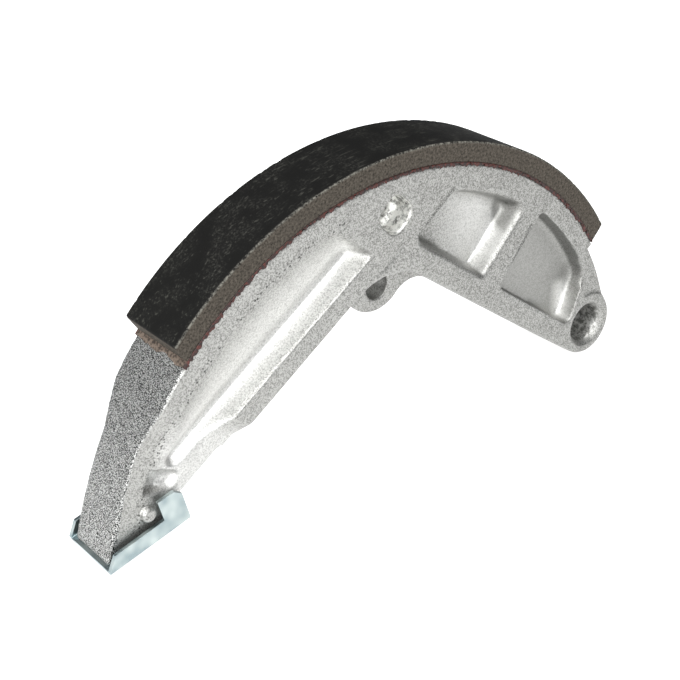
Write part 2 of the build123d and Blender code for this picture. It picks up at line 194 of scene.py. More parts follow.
class CastingSettings(bpy.types.PropertyGroup):
    """Skin of the casting."""

    cell: FloatProperty(
        name="Cell", description="Cell of the skin's mesh", default=0.27 * MM, subtype="DISTANCE")
    soften: IntProperty(
        name="Soften", description="Rounds of smoothing that turn cut edges into cast ones",
        default=3)
    faces: IntProperty(
        name="Triangles", description="Most triangles of the skin", default=190000)
    relief: FloatProperty(
        name="Relief", description="Wear of the rim's edges", default=0.42 * MM, subtype="DISTANCE")
    heel: FloatProperty(
        name="Heel", description="How far out the heel's corner is, over its round", default=1.85)
    wave: FloatProperty(
        name="Wave", description="Size of the skin's slow waves",
        default=3.0 * MM, subtype="DISTANCE")
    wave_depth: FloatProperty(
        name="Wave depth", description="Depth of the skin's slow waves",
        default=0.08 * MM, subtype="DISTANCE")
    grit: FloatProperty(
        name="Grit", description="Size of the blasted dimples",
        default=0.55 * MM, subtype="DISTANCE")
    grit_depth: FloatProperty(
        name="Grit depth", description="Depth of the blasted dimples",
        default=0.03 * MM, subtype="DISTANCE")
    light: FloatVectorProperty(
        name="Bright metal", description="Colour of the crests",
        default=srgb("#b6b6b3"), size=4, subtype="COLOR")
    dark: FloatVectorProperty(
        name="Dull metal", description="Colour of the pits",
        default=srgb("#6f6f6c"), size=4, subtype="COLOR")


class LiningSettings(bpy.types.PropertyGroup):
    """Friction lining."""

    radius: FloatProperty(
        name="Radius", description="Radius of the friction face",
        default=LINING_RADIUS, subtype="DISTANCE")
    thickness: FloatProperty(
        name="Thickness", description="Thickness of the lining",
        default=LINING_THICKNESS, subtype="DISTANCE")
    width: FloatProperty(
        name="Width", description="Width across the shoe", default=SHOE_WIDTH, subtype="DISTANCE")
    edge: FloatProperty(
        name="Edge", description="Rounding of its edges", default=0.35 * MM, subtype="DISTANCE")
    chip: FloatProperty(
        name="Chipping", description="Depth of the chips along its edges",
        default=0.22 * MM, subtype="DISTANCE")
    face: FloatVectorProperty(
        name="Face", description="Colour of the moulded face",
        default=srgb("#141413"), size=4, subtype="COLOR")
    side: FloatVectorProperty(
        name="Side", description="Colour of the ground sides",
        default=srgb("#58524a"), size=4, subtype="COLOR")


class AdhesiveSettings(bpy.types.PropertyGroup):
    """Adhesive between the casting and the lining."""

    bead: FloatProperty(
        name="Bead", description="Height of the squeezed-out line",
        default=0.62 * MM, subtype="DISTANCE")
    proud: FloatProperty(
        name="Proud", description="How far the line stands out of the sides",
        default=0.08 * MM, subtype="DISTANCE")
    overrun: FloatProperty(
        name="Overrun", description="Smear past the cam end",
        default=math.radians(1.3), subtype="ANGLE")
    wander: FloatProperty(
        name="Wander", description="How far the smear's end wanders",
        default=3.0 * MM, subtype="DISTANCE")
    ragged: FloatProperty(
        name="Ragged", description="How uneven its lower edge is",
        default=2.2 * MM, subtype="DISTANCE")
    colour: FloatVectorProperty(
        name="Colour", description="Colour of the cured resin",
        default=srgb("#2e110b"), size=4, subtype="COLOR")


class ClipSettings(bpy.types.PropertyGroup):
    """Folded steel clip."""

    edge: FloatProperty(
        name="Edge", description="Rounding of the sheared edges",
        default=0.12 * MM, subtype="DISTANCE")
    plate: FloatVectorProperty(
        name="Plating", description="Colour of the zinc plating",
        default=srgb("#b6c0bf"), size=4, subtype="COLOR")


class StudioSettings(bpy.types.PropertyGroup):
    """Floor, lights and camera."""

    floor: FloatVectorProperty(
        name="Floor", description="Colour of the floor",
        default=srgb("#c4c4c4"), size=4, subtype="COLOR")
    backlight: FloatProperty(
        name="Backlight", description="Strength of the light from inside the floor", default=0.8)
    world: FloatProperty(
        name="Ambient", description="Strength of the light from all round", default=0.18)
    overhead: FloatProperty(
        name="Overhead", description="Power of the overhead light", default=6.0, unit="POWER")
    key: FloatProperty(
        name="Key", description="Strength of the broad far light over the camera's left",
        default=4.8)
    fill: FloatProperty(
        name="Fill", description="Power of the low light beside the camera",
        default=1.2, unit="POWER")
    lens: FloatProperty(
        name="Lens", description="Focal length of the camera", default=73.54, unit="CAMERA")


# Meshes


def link_piece(name, mesh):
    """A new object at the origin, with its place in its mesh."""
    piece = bpy.data.objects.new(name, mesh)
    bpy.context.collection.objects.link(piece)
    return piece


def copy_of_node(node, name):
    """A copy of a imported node's mesh with its loose triangles merged."""
    piece = link_piece(name, frame["nodes"][node].data.copy())
    shape = bmesh.new()
    shape.from_mesh(piece.data)
    bmesh.ops.remove_doubles(shape, verts=shape.verts, dist=MERGE_DISTANCE)
    shape.to_mesh(piece.data)
    shape.free()
    piece.data.materials.clear()
    return piece


def bake_modifiers(piece):
    """Turns a piece's modifiers into its plain mesh."""
    evaluated = piece.evaluated_get(bpy.context.evaluated_depsgraph_get())
    mesh = bpy.data.meshes.new_from_object(evaluated)
    mesh.name = piece.name
    piece.modifiers.clear()
    piece.data = mesh


def new_tree(name, sizes):
    """A geometry tree with a mesh in and out and named inputs for its sizes."""
    tree = bpy.data.node_groups.new(name, "GeometryNodeTree")
    tree.interface.new_socket("Geometry", in_out="INPUT", socket_type="NodeSocketGeometry")
    tree.interface.new_socket("Geometry", in_out="OUTPUT", socket_type="NodeSocketGeometry")
    for size in sizes:
        tree.interface.new_socket(size, in_out="INPUT", socket_type="NodeSocketFloat")
    add = partial(add_node, tree)
    return tree, add, add("NodeGroupInput").node.outputs


def close_tree(add, geometry, material):
    """Ends a geometry tree in plain faces with a material."""
    smooth = add("GeometryNodeSetShadeSmooth", {"Geometry": geometry})
    real = add("GeometryNodeRealizeInstances", {"Geometry": smooth})
    coated = add("GeometryNodeSetMaterial", {"Geometry": real, "Material": material})
    add("NodeGroupOutput", {"Geometry": coated})


def run_tree(piece, tree, **sizes):
    """Puts a geometry tree on a piece, with its sizes, and bakes it."""
    modifier = piece.modifiers.new(tree.name, "NODES")
    modifier.node_group = tree
    items = tree.interface.items_tree
    sockets = {item.name: item.identifier for item in items if item.in_out == "INPUT"}
    for name, value in sizes.items():
        modifier[sockets[name.replace("_", " ").capitalize()]] = value
    bake_modifiers(piece)


def cast_skin(material):
    """Tree that turns a cut solid into a blasted casting.

    The feet of the recesses are softened, the heel is filled out, the rim's edges are worn down,
    and the skin gets slow waves and fine dimples.
    """
    names = ("Relief", "Heel", "Wave", "Wave depth", "Grit", "Grit depth")
    tree, add, size = new_tree("Cast skin", names)
    place = add(PLACE)
    split = add(SPLIT, (place,)).node.outputs
    aside = add(MATH, (split[1],), operation="ABSOLUTE")
    arm = add(VECTOR, (place, DRUM_AXIS), operation="SUBTRACT")
    arm = add(VECTOR, (arm, (1, 0, 1)), operation="MULTIPLY")
    radius = add(VECTOR, (arm,), out="Value", operation="LENGTH")
    recess = 1.0
    for value, limits in (
            (aside, RECESS_DEPTH), (radius, RECESS_INNER_RADIUS),
            (radius, RECESS_OUTER_RADIUS), (split[0], RECESS_X)):
        share = add(RANGE, (value, *limits), interpolation_type="SMOOTHSTEP")
        recess = add(MATH, (recess, share), operation="MULTIPLY")
    soft = add(
        "GeometryNodeBlurAttribute",
        {"Value": place, "Iterations": SMOOTHING_ROUNDS, "Weight": recess},
        data_type="FLOAT_VECTOR")
    skin = add(MOVE, {"Geometry": size["Geometry"], "Position": soft})

    # the heel's round is drawn out to a blunt corner that nearly fills the clip
    from_heel = add(VECTOR, (place, HEEL_CENTRE), operation="SUBTRACT")
    from_heel = add(VECTOR, (from_heel, (1, 0, 1)), operation="MULTIPLY")
    heading = add(VECTOR, (from_heel,), operation="NORMALIZE")
    facing = [
        add(VECTOR, (heading, side), out="Value", operation="DOT_PRODUCT") for side in HEEL_SIDES]
    drawn = add(MATH, (1.0, add(MATH, facing, operation="MAXIMUM")), operation="DIVIDE")
    drawn = add(MATH, (drawn, size["Heel"]), operation="MINIMUM")
    drawn = add(MATH, (drawn, 1.0), operation="SUBTRACT")
    middle = add(VECTOR, (heading, HEEL_MIDDLE), out="Value", operation="DOT_PRODUCT")
    within = add(MATH, (middle, HEEL_SWEEP), operation="GREATER_THAN")
    drawn = add(MATH, (drawn, within), operation="MULTIPLY")
    shift = add(VECTOR, {0: from_heel, "Scale": drawn}, operation="SCALE")
    skin = add(MOVE, {"Geometry": skin, "Offset": shift})

    # the rim's two edges are cut back to a worn 45 degree face
    ragged = add(NOISE, {"Vector": place, "Scale": 1 / (0.8 * MM), "Detail": 2.0})
    worn = add(MATH, (ragged, 0.5), operation="ADD")
    worn = add(MATH, (worn, size["Relief"]), operation="MULTIPLY")
    past_side = add(MATH, (aside, SHOE_WIDTH / 2), operation="SUBTRACT")
    past_rim = add(MATH, (radius, PLATFORM_RADIUS), operation="SUBTRACT")
    over = add(MATH, (past_side, past_rim), operation="ADD")
    over = add(MATH, (over, worn), operation="ADD")
    over = add(MATH, (add(MATH, (over, 0.0), operation="MAXIMUM"), -0.5), operation="MULTIPLY")
    side = add(JOIN, {"Y": add(MATH, (split[1],), operation="SIGN")})
    toward = add(VECTOR, (add(VECTOR, (arm,), operation="NORMALIZE"), side), operation="ADD")
    shift = add(VECTOR, {0: toward, "Scale": over}, operation="SCALE")
    skin = add(MOVE, {"Geometry": skin, "Offset": shift})

    height = 0.0
    for name in ("Wave", "Grit"):
        scale = add(MATH, (1.0, size[name]), operation="DIVIDE")
        noise = add(NOISE, {"Vector": add(PLACE), "Scale": scale, "Detail": 1.0})
        level = add(MATH, (noise, 0.5), operation="SUBTRACT")
        height = add(MATH, (level, size[name + " depth"], height), operation="MULTIPLY_ADD")
    offset = add(VECTOR, {0: add("GeometryNodeInputNormal"), "Scale": height}, operation="SCALE")
    close_tree(add, add(MOVE, {"Geometry": skin, "Offset": offset}), material)
    return tree


def rolled_blank(name, cells, size_names=()):
    """Start of a tree that rounds a flat blank's edges, before it is rolled round the drum's axis.

    The blank lies along X from the cam end's angle to the pivot end's, with its height along Z.
    """
    names = ("Inner radius", "Pivot end", "Cam end", "Width", "Height", "Edge", "Chip", "Chip size")
    tree, add, size = new_tree(name, names + size_names)
    span = add(MATH, (size["Cam end"], size["Pivot end"]), operation="SUBTRACT")
    length = add(MATH, (span, size["Inner radius"]), operation="MULTIPLY")
    box = add(JOIN, (length, size["Width"], size["Height"]))
    blank = add(
        "GeometryNodeMeshCube",
        {"Size": box, "Vertices X": cells[0], "Vertices Y": cells[1], "Vertices Z": cells[2]})
    half = add(VECTOR, {0: box, "Scale": 0.5}, operation="SCALE")
    core = add(VECTOR, (half, add(JOIN, (size["Edge"],) * 3)), operation="SUBTRACT")
    low = add(VECTOR, {0: core, "Scale": -1.0}, operation="SCALE")
    kept = add(VECTOR, (add(PLACE), core), operation="MINIMUM")
    kept = add(VECTOR, (kept, low), operation="MAXIMUM")
    out = add(VECTOR, (add(PLACE), kept), operation="SUBTRACT")
    out = add(VECTOR, (out,), operation="NORMALIZE")
    swell = add(VECTOR, {0: out, "Scale": size["Edge"]}, operation="SCALE")
    blank = add(MOVE, {"Geometry": blank, "Position": add(VECTOR, (kept, swell), operation="ADD")})
    scale = add(MATH, (1.0, size["Chip size"]), operation="DIVIDE")
    noise = add(NOISE, {"Vector": add(PLACE), "Scale": scale, "Detail": 2.0})
    return tree, add, size, blank, half, noise


def rolled(add, size, blank, lean):
    """The blank of a tree, rolled round the drum's axis, with its ends leaning outwards."""
    split = add(SPLIT, (add(PLACE),)).node.outputs
    level = add(MATH, (split[2], size["Height"]), operation="DIVIDE")
    level = add(MATH, (level, 0.5), operation="ADD")
    turn = add(MATH, (split[0], size["Inner radius"]), operation="DIVIDE")
    both = add(MATH, (size["Cam end"], size["Pivot end"]), operation="ADD")
    middle = add(MATH, (both, 0.5), operation="MULTIPLY")
    narrowed = add(MATH, (level, -lean, 1.0), operation="MULTIPLY_ADD")
    turn = add(MATH, (turn, narrowed), operation="MULTIPLY")
    angle = add(MATH, (middle, turn), operation="SUBTRACT")
    radius = add(MATH, (size["Height"], 0.5, size["Inner radius"]), operation="MULTIPLY_ADD")
    radius = add(MATH, (radius, split[2]), operation="ADD")
    cosine = add(MATH, (angle,), operation="COSINE")
    sine = add(MATH, (angle,), operation="SINE")
    x = add(MATH, (radius, cosine, DRUM_AXIS.x), operation="MULTIPLY_ADD")
    z = add(MATH, (radius, sine, DRUM_AXIS.z), operation="MULTIPLY_ADD")
    return add(MOVE, {"Geometry": blank, "Position": add(JOIN, (x, split[1], z))})


def chipped_lining(material):
    """Tree of the lining: chips bite where two faces meet, so two gaps make up their mask."""
    tree, add, size, blank, half, noise = rolled_blank("Chipped lining", LINING_GRID)
    bite = add(MATH, (noise, CHIP_LEVEL), operation="SUBTRACT")
    bite = add(MATH, (bite, 0.0), operation="MAXIMUM")
    apart = add(VECTOR, (add(PLACE),), operation="ABSOLUTE")
    gaps = add(VECTOR, (half, apart), operation="SUBTRACT")
    reach = add(MATH, (size["Edge"], CHIP_REACH), operation="MULTIPLY")
    near = [add(RANGE, (gap, reach, 0.0)) for gap in add(SPLIT, (gaps,)).node.outputs]
    mask = 0.0
    for first, second in ((0, 1), (1, 2), (2, 0)):
        mask = add(MATH, (near[first], near[second], mask), operation="MULTIPLY_ADD")
    depth = add(MATH, (bite, add(MATH, (mask, 1.0), operation="MINIMUM")), operation="MULTIPLY")
    depth = add(MATH, (depth, size["Chip"]), operation="MULTIPLY")
    depth = add(MATH, (depth, -CHIP_GAIN), operation="MULTIPLY")
    shift = add(VECTOR, {0: add("GeometryNodeInputNormal"), "Scale": depth}, operation="SCALE")
    blank = add(MOVE, {"Geometry": blank, "Offset": shift})
    close_tree(add, rolled(add, size, blank, LINING_LEAN), material)
    return tree


def squeezed_adhesive(material):
    """Tree of the adhesive: its lower edge is ragged, and its cam end wanders over the casting."""
    tree, add, size, blank, half, noise = rolled_blank(
        "Squeezed adhesive", ADHESIVE_GRID, ("Wander",))
    split = add(SPLIT, (add(PLACE),)).node.outputs
    level = add(MATH, (noise, 0.5), operation="SUBTRACT")
    inner = add(MATH, (split[2], 0.0), operation="LESS_THAN")
    sag = add(MATH, (level, size["Chip"]), operation="MULTIPLY")
    sag = add(MATH, (sag, inner), operation="MULTIPLY")

    # the cam end wanders over its last 3 mm, in waves 4 mm apart
    across = add(JOIN, {"Y": split[1]})
    slow = add(NOISE, {"Vector": across, "Scale": 1 / (4.0 * MM), "Detail": 3.0})
    drift = add(MATH, (slow, 0.4), operation="SUBTRACT")
    drift = add(MATH, (drift, size["Wander"]), operation="MULTIPLY")
    end = add(MATH, (add(SPLIT, (half,)), -1.0), operation="MULTIPLY")
    near_end = add(RANGE, (split[0], add(MATH, (end, 3 * MM), operation="ADD"), end))
    drift = add(MATH, (drift, near_end), operation="MULTIPLY")
    blank = add(MOVE, {"Geometry": blank, "Offset": add(JOIN, (drift, 0.0, sag))})
    close_tree(add, rolled(add, size, blank, 0.0), material)
    return tree


# Materials


def new_material(name):
    """A material with its node adder, shader and place in millimetres."""
    material = bpy.data.materials.new(name)
    material.use_nodes = True
    add = partial(add_node, material.node_tree)
    where = add("ShaderNodeTexCoord", out="Object")
    place = add(VECTOR, {0: where, "Scale": 1 / MM}, operation="SCALE")
    return material, add, material.node_tree.nodes["Principled BSDF"], place


def round_drum(add, place):
    """A place's distances from the drum's axis and from the mid-plane."""
    arm = add(VECTOR, (place, DRUM_AXIS / MM), operation="SUBTRACT")
    arm = add(VECTOR, (arm, (1, 0, 1)), operation="MULTIPLY")
    radius = add(VECTOR, (arm,), out="Value", operation="LENGTH")
    aside = add(MATH, (add(SPLIT, (place,), out="Y"),), operation="ABSOLUTE")
    return radius, aside


def near_segment(add, place, start, end):
    """How near a place is to a straight line of the side view, from 0 to 1 across 0.8 mm."""
    span = Vector((end[0] - start[0], 0, end[1] - start[1]))
    arm = add(VECTOR, (place, (start[0], 0, start[1])), operation="SUBTRACT")
    arm = add(VECTOR, (arm, (1, 0, 1)), operation="MULTIPLY")
    along = add(VECTOR, (arm, span.normalized()), out="Value", operation="DOT_PRODUCT")
    foot = add(VECTOR, {0: span, "Scale": add(RANGE, (along, 0.0, span.length))}, operation="SCALE")
    gap = add(VECTOR, (arm, foot), out="Value", operation="DISTANCE")
    return add(RANGE, (gap, 0.9, 0.1), interpolation_type="SMOOTHSTEP")


def near_axis(add, place, axis, radius):
    """1 within a radius of an axis along the drum's, falling to 0 across 0.4 mm."""
    flat = add(VECTOR, (place, (1, 0, 1)), operation="MULTIPLY")
    gap = add(VECTOR, (flat, axis), out="Value", operation="DISTANCE")
    return add(RANGE, (gap, radius + 0.2, radius - 0.2))


def overlap(add, *fades):
    """Where several values are all past their limits: the product of shares from 0 to 1."""
    shares = [add(RANGE, (value, *limits)) for value, limits in fades]
    return reduce(lambda first, second: add(MATH, (first, second), operation="MULTIPLY"), shares)


def highlit_walls(add, radius, aside, across, up):
    """Painted highlight on the channel and on the bays' walls, where the colour is lightened to
    near white.
    """
    channel = add(RANGE, (across, *CHANNEL_END_X))
    hub = overlap(
        add, (across, HUB_WALL_START_X), (across, HUB_WALL_END_X), (radius, HUB_WALL_RADIUS))
    boss = overlap(add, (across, BOSS_WALL_X), (up, BOSS_WALL_Z))
    wall_highlight = add(MATH, (add(MATH, (channel, hub), operation="ADD"), boss), operation="ADD")
    inside = overlap(
        add, (aside, HIGHLIGHT_DEPTH), (radius, HIGHLIGHT_INNER_RADIUS), (radius, HIGHLIGHT_OUTER_RADIUS),
        (across, HIGHLIGHT_CAM_END_X), (across, HIGHLIGHT_PIVOT_END_X))
    return add(MATH, (wall_highlight, inside), operation="MULTIPLY")


def shaded_walls(add, radius, aside, across, up, deep):
    """Painted shade on the outer walls of the two bays, where the colour is dulled."""
    hub = overlap(add, (across, HUB_SHADE_X), (radius, HUB_SHADE_RADIUS))
    boss = overlap(add, (across, BOSS_SHADE_X), (up, BOSS_SHADE_Z))
    wall_shade = add(MATH, (add(MATH, (hub, boss), operation="MAXIMUM"), deep), operation="MULTIPLY")
    inside = overlap(add, (radius, SHADE_RADIUS), (aside, SHADE_DEPTH))
    return add(MATH, (wall_shade, inside), operation="MULTIPLY")


def shaded_bay_edges(add, place, aside):
    """The two shallow edges where the bays begin, as a mask for painted shade and a small groove.
    """
    edges = 0.0
    for start, end in BAY_EDGES:
        edges = add(MATH, (edges, near_segment(add, place, start, end)), operation="MAXIMUM")
    return add(MATH, (edges, add(RANGE, (aside, 5.5, 6.5))), operation="MULTIPLY")


def crease_pits(add, place, radius, across):
    """Gas pits strung along the crease of the channel, three quarters of a millimetre apart."""
    crease = overlap(
        add, (radius, CREASE_INNER_RADIUS), (radius, CREASE_OUTER_RADIUS), (across, CREASE_X))
    bubbles = add(CELLS, {"Vector": place, "Scale": 1 / 0.75})
    return add(MATH, (add(RANGE, (bubbles, 0.36, 0.2)), crease), operation="MULTIPLY")


def blasted_aluminium(settings):
    """Shot-blasted die-cast aluminium: a bright skin, whose dimples glint and hold small shadows.

    The turned seat of the lining is darker and rougher, and the deep bays are smoother, where
    the shot came in at a slant. Painted highlight lightens the channel and parts of the bays' walls
    to near white, and painted shade dulls the bays' outer walls and darkens the bays' edges.
    Gas pits lie along the crease of the channel, darkened with painted shade.
    """
    material, add, shader, place = new_material("blasted_cast_aluminium")
    radius, aside = round_drum(add, place)
    across, _, up = add(SPLIT, (place,)).node.outputs
    seat = add(RANGE, (radius, PLATFORM_RADIUS_MM - 0.25, PLATFORM_RADIUS_MM - 0.1))
    deep = add(RANGE, (aside, *DEEP), interpolation_type="SMOOTHSTEP")
    slant = add(MATH, (deep, add(RANGE, (across, *SLANT_X))), operation="MULTIPLY")

    # facets a quarter of a millimetre across, over dimples and slow stains; painted light lifts the
    # tone towards the cam arm, and the pivot arm is a little darker
    facets = add(CELLS, {"Vector": place, "Scale": 1 / 0.24}, out="Color")
    specks = add(NOISE, {"Vector": place, "Scale": 1 / 0.22, "Detail": 2.0})
    grain = add(MIX, {0: 0.3, 2: specks, 3: facets})
    stain = add(NOISE, {"Vector": place, "Scale": 1 / 2.6, "Detail": 3.0})
    dimples = add(CELLS, {"Vector": place, "Scale": 1 / 0.6})
    tone = add(MIX, {0: 0.3, 2: add(RANGE, (grain, 0.38, 0.58)), 3: stain})
    painted_arm_light = add(RANGE, (across, 25.0, -30.0, -0.06, 0.14))
    tone = add(MATH, (tone, painted_arm_light), operation="ADD")
    tone = add(MIX, {0: add(MATH, (slant, 0.7), operation="MULTIPLY"), 2: tone, 3: 0.5})
    colour = add(
        MIX, {0: tone, 6: settings.dark, 7: settings.light}, out=2, data_type="RGBA")
    # painted shade: the colour darkens towards each dimple's middle, and not where the shot came at
    # a slant
    dimple = add(RANGE, (dimples, 0.05, 0.22, 0.35, 1.0))
    dimple = add(MIX, {0: slant, 2: dimple, 3: 1.0})
    colour = add(VECTOR, {0: colour, "Scale": dimple}, operation="SCALE")

    # the turned seat is speckled, the cored hole torn, its pale mottling a painted highlight of
    # glints, and the bore smeared by the reamer
    salt = add(NOISE, {"Vector": place, "Scale": 1 / 0.18, "Detail": 1.0})
    salt = add(RAMP, (salt,), stops=((0.45, srgb("#282927")), (0.57, srgb("#cfd0ce"))))
    torn = add(NOISE, {"Vector": place, "Scale": 1 / 1.1, "Detail": 3.0, "Roughness": 0.7})
    torn_core_and_glints = add(RAMP, (torn,), stops=((0.38, srgb("#8d8d8a")), (0.54, srgb("#fbfbf8"))))
    reamed = add(RAMP, (torn,), stops=((0.42, srgb("#777774")), (0.58, srgb("#cbcbc8"))))
    in_core = add(RANGE, (aside, 7.4, 7.0))
    cored = near_axis(add, place, CORE_CENTRE, CORE_RADIUS)
    cored = add(MATH, (cored, in_core), operation="MULTIPLY")
    bored = near_axis(add, place, BORE_CENTRE, BORE_RADIUS)

    # the grain breaks up the painted highlight and the painted shade on the walls, and the painted
    # shade along the bays' edges
    wall_highlight = highlit_walls(add, radius, aside, across, up)
    wall_shade = shaded_walls(add, radius, aside, across, up, deep)
    wall_highlight = add(
        MATH, (wall_highlight, add(RANGE, (grain, 0.35, 0.55, 0.5, 0.82))), operation="MULTIPLY")
    wall_shade = add(
        MATH, (wall_shade, add(RANGE, (grain, 0.38, 0.55, 0.6, 0.15))), operation="MULTIPLY")
    # painted shade along the bays' edges, broken by the grain; the same mask sinks them in the bump
    edges = shaded_bay_edges(add, place, aside)
    edges = add(MATH, (edges, add(RANGE, (grain, 0.62, 0.4, 0.1, 1.0))), operation="MULTIPLY")
    # gas pits along the crease, sunk in the bump and darkened in the colour as painted shade
    pits = crease_pits(add, place, radius, across)
    # mixed in turn: seat, near-white painted highlight, painted wall and edge shade, core, bore,
    # pits' painted shade
    for share, finish in (
            (seat, salt), (wall_highlight, srgb("#ececea")), (wall_shade, srgb("#6a6a67")),
            (edges, srgb("#5a5a57")), (cored, torn_core_and_glints), (bored, reamed), (pits, srgb("#4a4a48"))):
        colour = add(MIX, {0: share, 6: colour, 7: finish}, out=2, data_type="RGBA")

    height = add(MATH, (grain, 0.6, dimple), operation="MULTIPLY_ADD")
    height = add(MATH, (height, add(MATH, (pits, edges), operation="ADD")), operation="SUBTRACT")
    tears = add(MATH, (torn, 4.0), operation="MULTIPLY")
    height = add(MATH, (tears, cored, height), operation="MULTIPLY_ADD")
    calm = add(MIX, {0: slant, 2: add(RANGE, (seat, 0.0, 1.0, 0.38, 1.0)), 3: 0.15})
    bump = add(BUMP, {"Height": height, "Strength": calm, "Distance": 0.15 * MM})
    rough = add(RANGE, (grain, 0.0, 1.0, 0.6, 0.42))
    feed(shader, {"Base Color": colour, "Metallic": 1.0, "Roughness": rough, "Normal": bump})
    return material


def moulded_friction(settings):
    """Moulded brake friction compound: a sooty, dusty face with slanting scratches.

    The ground sides are browner, and the edge between the two is worn to a paler, broken line.
    """
    material, add, shader, place = new_material("moulded_friction_compound")
    radius, aside = round_drum(add, place)
    fleck = add(NOISE, {"Vector": place, "Scale": 1 / 0.45, "Detail": 3.0, "Roughness": 0.7})
    cloud = add(NOISE, {"Vector": place, "Scale": 1 / 5.0, "Detail": 4.0})
    on_face = add(MATH, (radius, add(RANGE, (fleck, 0.0, 1.0, -0.2, 0.2))), operation="ADD")
    on_face = add(RANGE, (on_face, LINING_RADIUS_MM - 0.4, LINING_RADIUS_MM - 0.2))

    # dust lies in clouds, and scratches are drawn out to 7 mm long and half a millimetre wide
    dust = overlap(add, (fleck, (0.5, 0.75)), (cloud, (0.42, 0.62)))
    drawn = add(
        "ShaderNodeMapping",
        {"Vector": place, "Rotation": (0.0, 0.5, 0.6), "Scale": (0.14, 2.2, 2.2)})
    streak = add(NOISE, {"Vector": drawn, "Scale": 1.0, "Detail": 2.0})
    scratch = overlap(add, (streak, (0.6, 0.7)), (cloud, (0.36, 0.5)))
    pale = add(MATH, (dust, scratch), operation="MAXIMUM")

    face = add(MIX, {0: cloud, 6: srgb("#0b0b0a"), 7: settings.face}, out=2, data_type="RGBA")
    face = add(MIX, {0: pale, 6: face, 7: srgb("#363632")}, out=2, data_type="RGBA")
    browner = add(RANGE, (fleck, 0.3, 0.7))
    side = add(MIX, {0: browner, 6: srgb("#221f1b"), 7: settings.side}, out=2, data_type="RGBA")
    colour = add(MIX, {0: on_face, 6: side, 7: face}, out=2, data_type="RGBA")
    worn = overlap(
        add, (radius, (LINING_RADIUS_MM - 0.5, LINING_RADIUS_MM - 0.2)),
        (aside, (HALF_WIDTH_MM - 0.35, HALF_WIDTH_MM - 0.1)), (fleck, (0.4, 0.6)))
    colour = add(MIX, {0: worn, 6: colour, 7: srgb("#6e6c65")}, out=2, data_type="RGBA")
    bump = add(BUMP, {"Height": fleck, "Strength": 0.4, "Distance": 0.1 * MM})
    feed(shader, {
        "Base Color": colour, "Roughness": 0.75, "Specular IOR Level": 0.13, "Normal": bump})
    return material


def cured_resin(settings):
    """Cured phenolic adhesive: a dark red-brown line, grey and dusty where it was smeared."""
    material, add, shader, place = new_material("cured_phenolic_adhesive")
    _, aside = round_drum(add, place)
    grain = add(NOISE, {"Vector": place, "Scale": 1 / 0.5, "Detail": 3.0})
    line = add(RAMP, (grain,), stops=(
        (0.36, srgb("#180a06")), (0.5, settings.colour), (0.64, srgb("#4c1b11"))))
    smear = add(RAMP, (grain,), stops=((0.4, srgb("#332a23")), (0.6, srgb("#6e6156"))))
    inside = add(RANGE, (aside, HALF_WIDTH_MM - 0.1, HALF_WIDTH_MM - 0.5))
    colour = add(MIX, {0: inside, 6: line, 7: smear}, out=2, data_type="RGBA")
    bump = add(BUMP, {"Height": grain, "Strength": 0.5, "Distance": 0.1 * MM})
    feed(shader, {"Base Color": colour, "Roughness": 0.6, "Normal": bump})
    return material


def zinc_plate(settings):
    """Bright zinc plating on sheet steel: a cool mirror, dulled in patches by handling."""
    material, add, shader, place = new_material("bright_zinc_plate")
    cloud = add(NOISE, {"Vector": place, "Scale": 1 / 3.5, "Detail": 1.0})
    colour = add(RAMP, (cloud,), stops=((0.35, srgb("#8d9b9e")), (0.65, settings.plate)))
    rough = add(RANGE, (cloud, 0.0, 1.0, 0.2, 0.4))
    bump = add(BUMP, {"Height": cloud, "Strength": 0.2, "Distance": 0.2 * MM})
    feed(shader, {"Base Color": colour, "Metallic": 1.0, "Roughness": rough, "Normal": bump})
    return material


def studio_paper(settings):
    """Backlit white acrylic sheet: an even pale ground that keeps shadows faint."""
    material, add, shader, place = new_material("backlit_white_sheet")
    cloud = add(NOISE, {"Vector": place, "Scale": 1 / 60.0})
    feed(shader, {
        "Base Color": settings.floor, "Roughness": add(RANGE, (cloud, 0.0, 1.0, 0.85, 0.95)),
        "Emission Color": srgb("#ffffff"), "Emission Strength": settings.backlight})
    return material


# Operators, one for each piece and one for the stage


class BRAKE_OT_casting(bpy.types.Operator):
    """Gives the casting its blasted skin"""

    bl_idname = "brake.casting"
    bl_label = "Casting"

    def execute(self, context):
        settings = context.scene.brake_casting
        piece = copy_of_node("shoe_casting", "casting_skin")
        remesh = piece.modifiers.new("Cells", "REMESH")
        remesh.mode = "VOXEL"
        remesh.voxel_size = settings.cell
        smooth = piece.modifiers.new("Soften", "SMOOTH")
        smooth.factor = 0.5
        smooth.iterations = settings.soften
        bake_modifiers(piece)
        run_tree(
            piece, cast_skin(blasted_aluminium(settings)), relief=settings.relief,
            heel=settings.heel, wave=settings.wave, wave_depth=settings.wave_depth,
            grit=settings.grit, grit_depth=settings.grit_depth)
        thin = piece.modifiers.new("Thin", "DECIMATE")
        thin.ratio = min(1.0, settings.faces / (2 * len(piece.data.polygons)))
        bake_modifiers(piece)
        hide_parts("shoe_casting")
        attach(piece, "root")
        return {"FINISHED"}


class BRAKE_OT_lining(bpy.types.Operator):
    """Rolls the friction lining, with chipped edges and leaning ends"""

    bl_idname = "brake.lining"
    bl_label = "Lining"

    def execute(self, context):
        settings = context.scene.brake_lining
        piece = link_piece("lining_block", bpy.data.meshes.new("lining_block"))
        run_tree(
            piece, chipped_lining(moulded_friction(settings)),
            inner_radius=settings.radius - settings.thickness, pivot_end=LINING_PIVOT_END,
            cam_end=LINING_CAM_END, width=settings.width, height=settings.thickness,
            edge=settings.edge, chip=settings.chip, chip_size=LINING_CHIP_SIZE)
        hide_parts("friction_lining")
        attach(piece, "root")
        return {"FINISHED"}


